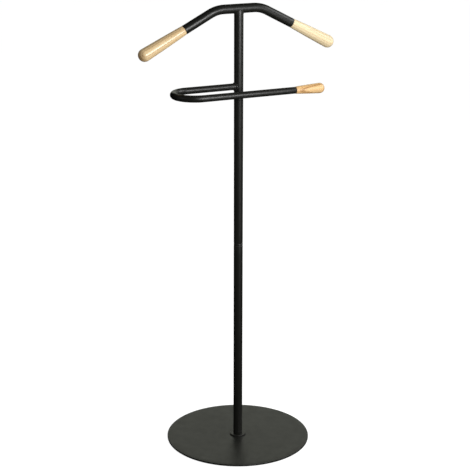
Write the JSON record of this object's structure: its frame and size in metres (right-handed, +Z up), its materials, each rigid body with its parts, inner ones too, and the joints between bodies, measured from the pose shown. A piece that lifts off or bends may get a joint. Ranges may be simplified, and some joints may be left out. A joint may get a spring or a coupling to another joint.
{
  "type": "valet stand",
  "caption": "Free-standing clothes valet: a slim black steel pole on a round plate, with a bent coat hanger and a U-shaped trouser bar, both ending in turned wooden tips.",
  "frame": {"origin": "on the floor, on the pole's axis, under the centre of the base plate", "axes": "+Z up along the pole; +X along the hanger and the trouser bar, towards the bar's wooden tip; -Y is the front, where the trouser bar's front run lies"},
  "size_m": [0.505, 0.357, 1.0936],
  "materials": {
    "powder_coat": "satin black fine-textured powder coat on steel",
    "beech": "turned light beech under clear lacquer",
    "zinc_steel": "bright zinc plating",
    "plain_steel": "machined bare steel",
    "nylon": "natural moulded nylon",
    "foam_rubber": "matt black foam rubber"
  },
  "bodies": {
    "root": {"base_plate": "powder_coat", "foot_flange": "powder_coat", "lower_pole": "powder_coat", "joint_ring": "powder_coat", "upper_pole": "powder_coat", "hanger_tube": "powder_coat", "hanger_weld": "powder_coat", "trouser_bar_tube": "powder_coat", "trouser_bar_weld": "powder_coat", "left_tip": "beech", "right_tip": "beech", "bar_tip": "beech", "base_bolt": "zinc_steel", "joint_stud": "zinc_steel", "left_tip_screw": "zinc_steel", "right_tip_screw": "zinc_steel", "bar_tip_screw": "zinc_steel", "foot_bush": "plain_steel", "lower_joint_bush": "plain_steel", "upper_joint_bush": "plain_steel", "left_end_bush": "nylon", "right_end_bush": "nylon", "bar_end_bush": "nylon", "floor_pad_1": "foam_rubber", "floor_pad_2": "foam_rubber", "floor_pad_3": "foam_rubber", "floor_pad_4": "foam_rubber", "floor_pad_5": "foam_rubber", "floor_pad_6": "foam_rubber"}
  },
  "joints": []
}
